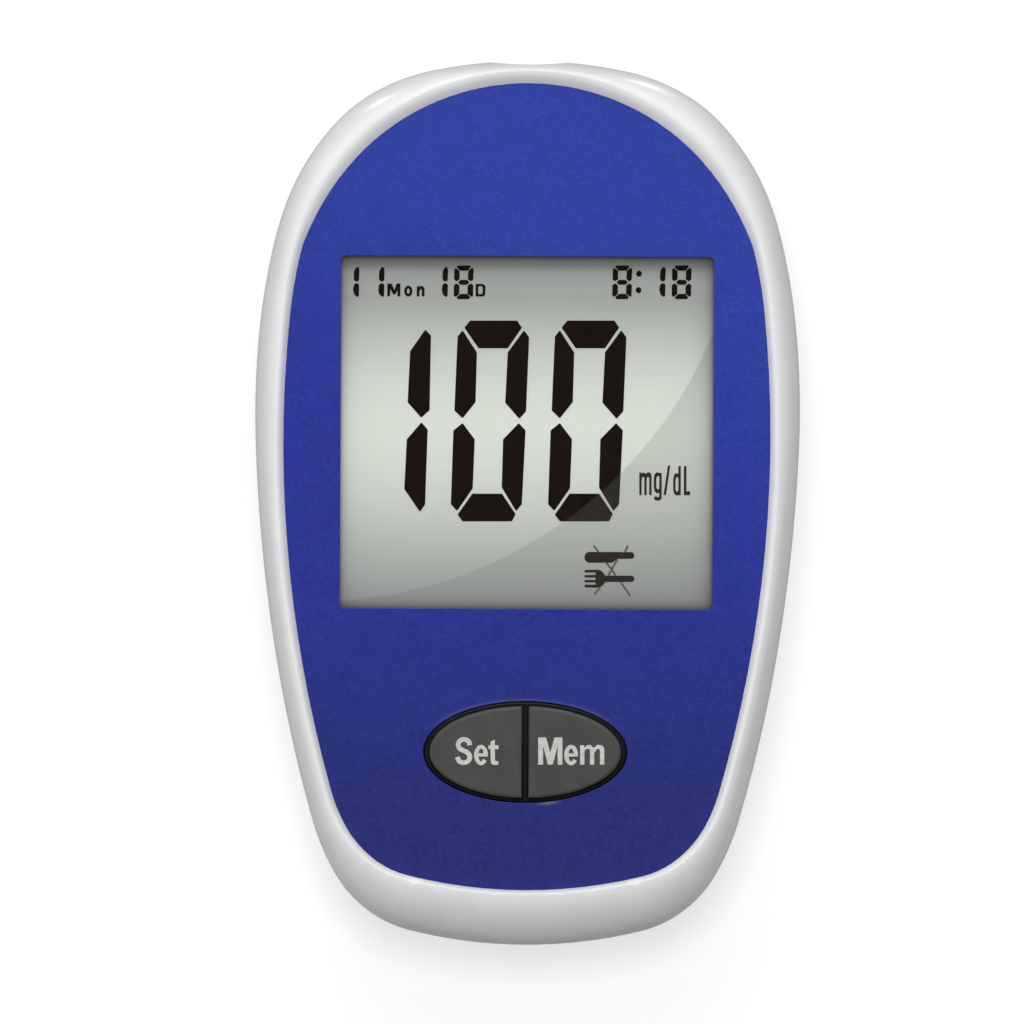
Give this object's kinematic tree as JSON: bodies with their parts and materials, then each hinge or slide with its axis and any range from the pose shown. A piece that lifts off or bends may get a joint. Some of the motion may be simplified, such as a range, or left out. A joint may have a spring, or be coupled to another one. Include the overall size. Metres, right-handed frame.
{
  "type": "blood glucose meter",
  "caption": "Palm-sized blood glucose meter: egg-shaped white case, blue faceplate, segment display, oval pair of keys, test-strip port and sliding battery door.",
  "frame": {"origin": "middle of the flat back on the resting plane, under the centre of the case's outline", "axes": "+Z out of the display, +Y towards the test-strip port, +X to the right when the display is read"},
  "size_m": [0.0544, 0.088, 0.018],
  "materials": {
    "white_shell": "gloss moulded, cool white",
    "white_back": "fine spark-eroded texture, cool white",
    "blue_face": "satin, fine metallic flake",
    "clear_lens": "polished clear",
    "adhesive": "pressure-sensitive film",
    "foam": "closed-cell foam",
    "display_glass": "polished",
    "polarizer": "satin film",
    "reflector": "brushed transflective film",
    "frame_plastic": "moulded",
    "zebra_rubber": "layered conductive rubber",
    "solder_mask": "gloss solder mask",
    "chip": "moulded epoxy",
    "component": "mixed small parts",
    "buzzer_case": "moulded",
    "connector_plastic": "glass-filled, black",
    "gold_contact": "gold plated",
    "black_ring": "satin black",
    "key_grey": "satin charcoal with light lettering",
    "silicone": "soft silicone",
    "carbon_pill": "carbon-loaded",
    "cell_steel": "stainless, circular brushed",
    "cell_seal_plastic": "moulded ring",
    "spring_steel": "nickel-plated spring steel",
    "screw_steel": "zinc plated",
    "label_film": "blank satin label"
  },
  "bodies": {
    "body": {"front_housing": "white_shell", "rear_housing": "white_back", "faceplate": "blue_face", "faceplate_adhesive": "adhesive", "display_lens": "clear_lens", "display_gasket": "foam", "lcd_front_glass": "display_glass", "lcd_front_polarizer": "polarizer", "lcd_rear_glass": "display_glass", "lcd_reflector": "reflector", "lcd_frame": "frame_plastic", "zebra_connector": "zebra_rubber", "circuit_board": "solder_mask", "microcontroller": "chip", "board_components": "component", "buzzer": "buzzer_case", "strip_connector": "connector_plastic", "strip_contacts": "gold_contact", "key_surround": "black_ring", "keypad_web": "silicone", "set_key_skirt": "silicone", "memory_key_skirt": "silicone", "coin_cell_can": "cell_steel", "coin_cell_cap": "cell_steel", "coin_cell_seal": "cell_seal_plastic", "battery_contact_positive": "spring_steel", "battery_contact_negative": "spring_steel", "case_screws": "screw_steel", "board_screws": "screw_steel", "rear_label": "label_film"},
    "battery_door": {"battery_door": "white_back"},
    "set_key": {"set_key": "key_grey", "set_key_post": "silicone", "set_contact_pill": "carbon_pill"},
    "memory_key": {"memory_key": "key_grey", "memory_key_post": "silicone", "memory_contact_pill": "carbon_pill"}
  },
  "joints": [
    {"name": "battery_door_slide", "type": "slide", "parent": "body", "child": "battery_door", "axis": [0, -1, 0], "range_m": [0, 0.03]},
    {"name": "set_key_press", "type": "slide", "parent": "body", "child": "set_key", "axis": [0, 0, -1], "range_m": [0, 0.0007], "stiffness_N_per_m": 900, "springref_m": -0.0004, "deforming": ["set_key_skirt"]},
    {"name": "memory_key_press", "type": "slide", "parent": "body", "child": "memory_key", "axis": [0, 0, -1], "range_m": [0, 0.0007], "stiffness_N_per_m": 900, "springref_m": -0.0004, "deforming": ["memory_key_skirt"]}
  ]
}
